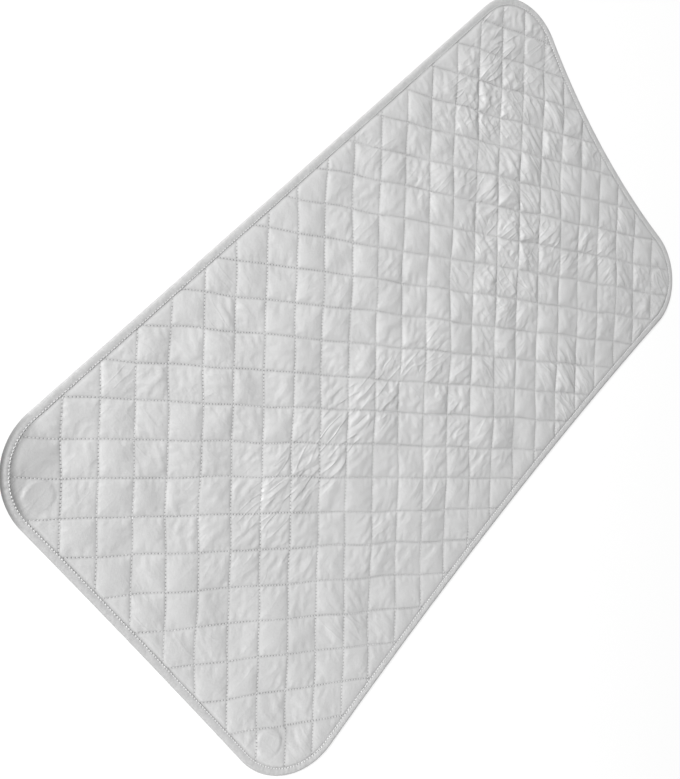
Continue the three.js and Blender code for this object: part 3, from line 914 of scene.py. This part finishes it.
def make_binding():
    points, normals, corner, counted, stitches = binding_path(BINDING_SPACING)
    waves = binding_waves(counted, stitches)
    beat = np.abs(np.cos(math.pi * counted))
    pleats = corner * np.sin(1.05 * math.pi * counted + 1.5 * waves)
    # Deepens the stitch dents round the left back corner, and weights the painted shade the tape gets there.
    drawn = dented_and_shaded_corner(points[:, 0], points[:, 1])
    rings, marks = [], []
    for inset, z, loose, dent, pleat in BINDING_PROFILE:
        at = points - normals * (inset + EDGE_WAVE * loose * waves)[:, None]
        dented = z - (STITCH_DENT + DRAWN_DENT * drawn) * dent * (1 - beat)
        rings.append(np.column_stack([at, dented + PLEAT * pleat * pleats + PUCKER * pleat * waves]))
        insets = np.full(len(at), inset)
        marks.append(np.column_stack([insets - BINDING_SEAM_INSET, counted, insets]))
    piece = mesh_object("bound_edge", np.vstack(rings), ring_faces(len(rings), len(points)), TAPE)
    vector_marks(piece, "seam", np.vstack(marks))
    # The corner's weight, kept for the tape's painted shade.
    vector_marks(piece, "drawn", np.tile(np.column_stack([drawn, drawn, drawn]), (len(rings), 1)))
    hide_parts("edge_binding")


def make_binding_stitches():
    points, normals, _, counted, stitches = binding_path(BINDING_STITCH_SPACING)
    picks = np.searchsorted(counted, np.arange(stitches))
    tangents = np.column_stack([-normals[picks, 1], normals[picks, 0]])
    at = points[picks] - normals[picks] * BINDING_SEAM_INSET
    middles = np.column_stack([at, np.full(stitches, BINDING_STITCH_Z)])
    lengths = np.full(stitches, BINDING_STITCH_SHARE * BINDING_STITCH_PITCH)
    sewn = middles, tangents, lengths, BINDING_THREAD_RADIUS
    top = stitch_mesh(
        "binding_stitches_top", *sewn, BINDING_STITCH_SINK, BINDING_STITCH_LIFT, 1, TAPE_THREAD
    )
    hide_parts("binding_thread")
    middles[:, 2] = UNDER_STITCH_Z
    stitch_mesh("binding_stitches_under", *sewn, UNDER_STITCH_SINK, UNDER_STITCH_LIFT, -1, TAPE_THREAD)


def paint_magnets():
    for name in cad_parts:
        if name.startswith("magnet_"):
            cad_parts[name].material_slots[0].material = FERRITE


make_cover()
make_backing()
make_quilt_stitches()
make_binding()
make_binding_stitches()
paint_magnets()


# Studio: a white floor and surroundings, one broad light and two weak ones


def seen_directly(tree):
    """1 where the camera looks, straight or by a mirror or glass, and 0 where light only bounces."""
    path = node(tree, "ShaderNodeLightPath").outputs
    mirrored = sums(tree, "ADD", path["Is Glossy Ray"], path["Is Transmission Ray"])
    return sums(tree, "ADD", path["Is Camera Ray"], mirrored, clamp=True)


def white_paint():
    """Looks nearly white with a weak shadow, and throws less light back on the pad."""
    material = bpy.data.materials.new("white_floor")
    material.use_nodes = True
    tree = material.node_tree
    tree.nodes.clear()
    bounce = node(tree, "ShaderNodeBsdfDiffuse", {"Color": grey(FLOOR_BOUNCE)}).outputs[0]
    shaded = node(tree, "ShaderNodeBsdfDiffuse", {"Color": grey(FLOOR_SHADED)}).outputs[0]
    glow = node(tree, "ShaderNodeEmission", {"Color": grey(FLOOR_GLOW), "Strength": 1.0}).outputs[0]
    white = node(tree, "ShaderNodeAddShader", {0: shaded, 1: glow}).outputs[0]
    blend = node(tree, "ShaderNodeMixShader", {0: seen_directly(tree), 1: bounce, 2: white}).outputs[0]
    node(tree, "ShaderNodeOutputMaterial", {0: blend})
    return material


def make_floor():
    mesh = bpy.data.meshes.new("floor")
    turns = [2 * math.pi * k / FLOOR_SIDES for k in range(FLOOR_SIDES)]
    rim = [(FLOOR_RADIUS * math.cos(turn), FLOOR_RADIUS * math.sin(turn), FLOOR_Z) for turn in turns]
    mesh.from_pydata(rim, [], [tuple(range(FLOOR_SIDES))])
    floor = bpy.data.objects.new("floor", mesh)
    bpy.context.scene.collection.objects.link(floor)
    mesh.materials.append(white_paint())


def make_surroundings():
    """White where they are seen, and a weak light from all sides."""
    world = bpy.data.worlds.new("white_room")
    bpy.context.scene.world = world
    world.use_nodes = True
    tree = world.node_tree
    background = tree.nodes["Background"]
    strength = ranged(tree, seen_directly(tree), ROOM_LIGHT, ROOM_SEEN)
    tree.links.new(strength, background.inputs["Strength"])
    background.inputs["Color"].default_value = grey(1.0)


def make_lights():
    """A broad light behind the left end, and weak ones over the middle and by the front left corner."""
    for name, place_at, aim, size, power in (
        ("key_light", (-2.2, 4.4, 3.5), (0, 0, 0), 1.8, 405),
        ("top_light", (0.05, 0.12, 0.65), (0.05, 0.12, 0), 0.3, 0.5),
        ("front_light", (-0.75, -0.6, 0.45), (-0.38, -0.18, 0), 0.4, 1.4),
    ):
        lamp = bpy.data.lights.new(name, "AREA")
        lamp.energy = power
        lamp.shape = "DISK"
        lamp.size = size
        light = bpy.data.objects.new(name, lamp)
        light.location = place_at
        light.rotation_euler = (Vector(aim) - Vector(place_at)).to_track_quat("-Z", "Y").to_euler()
        bpy.context.scene.collection.objects.link(light)


def make_camera():
    """The photograph's camera, as found from the quilting grid and the outline."""
    camera = bpy.data.cameras.new("camera")
    camera.sensor_width = SENSOR_WIDTH
    camera.lens = LENS
    camera.clip_start, camera.clip_end = 0.01, 50
    seen = bpy.data.objects.new("camera", camera)
    back = -CAMERA_FORWARD.normalized()
    right = (CAMERA_RIGHT - back * CAMERA_RIGHT.dot(back)).normalized()
    turned = Matrix((right, back.cross(right), back)).transposed().to_4x4()
    seen.matrix_world = Matrix.Translation(CAMERA_AT) @ turned
    bpy.context.scene.collection.objects.link(seen)
    bpy.context.scene.camera = seen


make_floor()
make_surroundings()
make_lights()
make_camera()
bpy.context.scene.view_settings.view_transform = "Standard"
